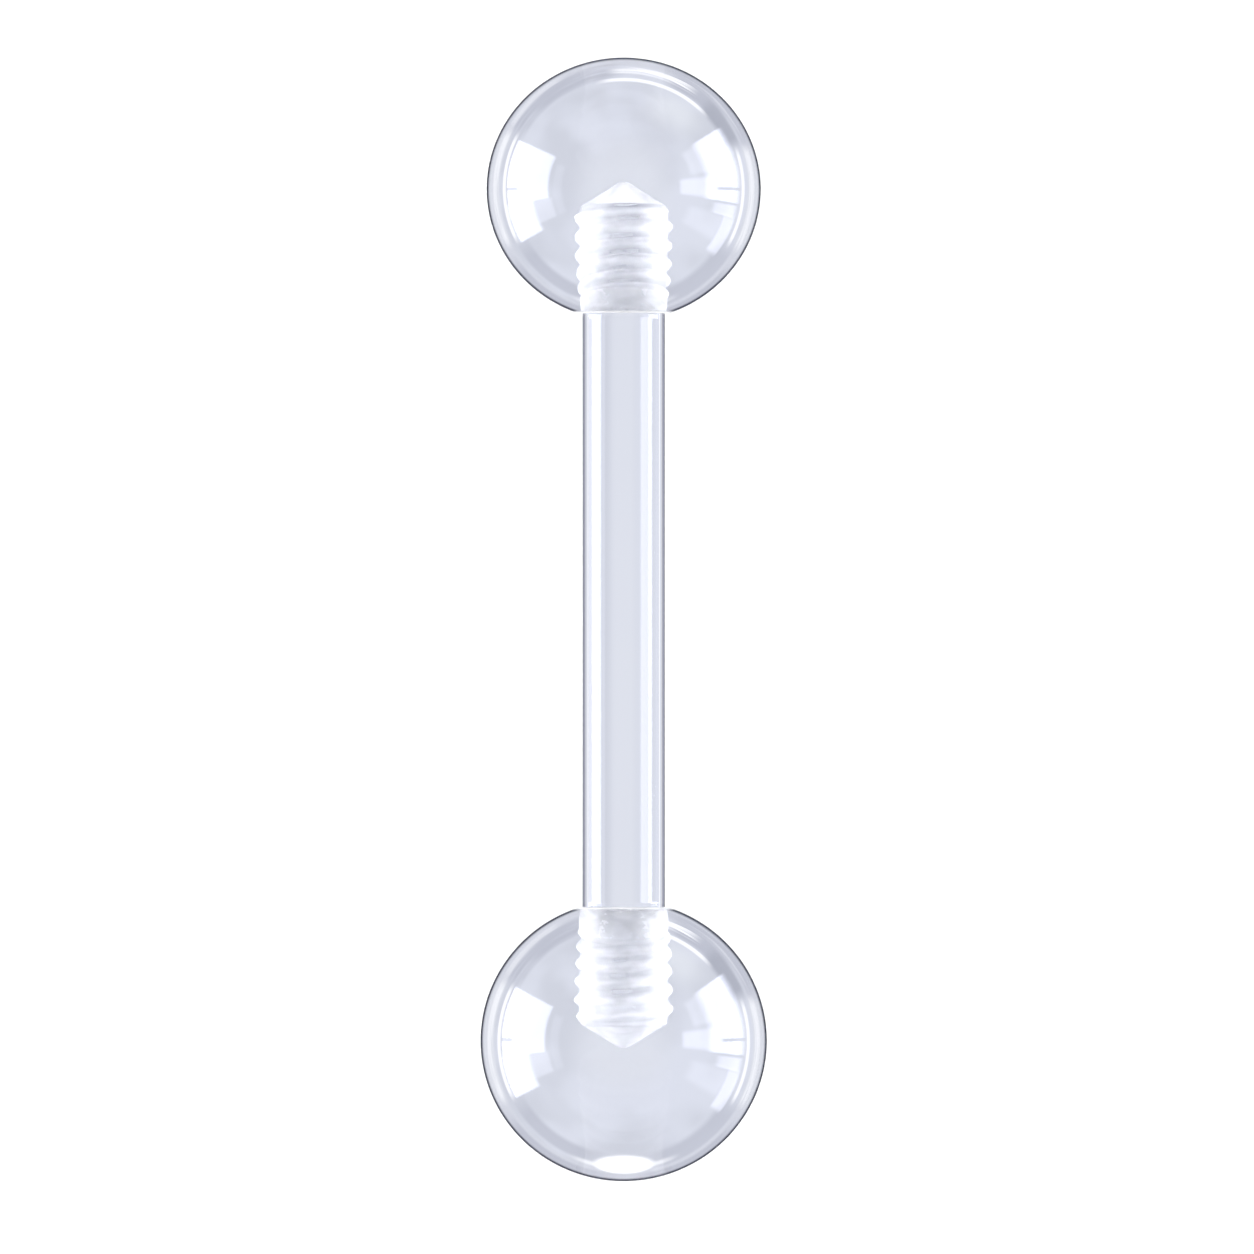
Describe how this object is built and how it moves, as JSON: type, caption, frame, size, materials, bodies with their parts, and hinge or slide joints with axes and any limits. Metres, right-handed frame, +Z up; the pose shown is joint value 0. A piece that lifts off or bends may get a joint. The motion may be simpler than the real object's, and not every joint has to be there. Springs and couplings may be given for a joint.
{
  "type": "tongue barbell",
  "caption": "Clear acrylic straight barbell for a piercing: a smooth bar with a ball screwed onto a threaded stud at each end.",
  "frame": {"origin": "on the surface that the barbell lies on, below the middle of its length", "axes": "+Y along the bar, towards the upper ball of the picture; +Z up, towards the viewer of the picture; +X to the picture's right"},
  "size_m": [0.0056, 0.0222, 0.0057],
  "materials": {
    "clear_bar": "polished",
    "clear_ball": "polished"
  },
  "bodies": {
    "bar": {"bar": "clear_bar"},
    "upper_ball": {"upper_ball": "clear_ball"},
    "lower_ball": {"lower_ball": "clear_ball"}
  },
  "joints": [
    {"name": "upper_ball_unscrew", "type": "slide", "parent": "bar", "child": "upper_ball", "axis": [0, 1, -0.0071], "range_m": [0, 0.006]},
    {"name": "lower_ball_unscrew", "type": "slide", "parent": "bar", "child": "lower_ball", "axis": [0, -1, 0.0071], "range_m": [0, 0.006]}
  ]
}
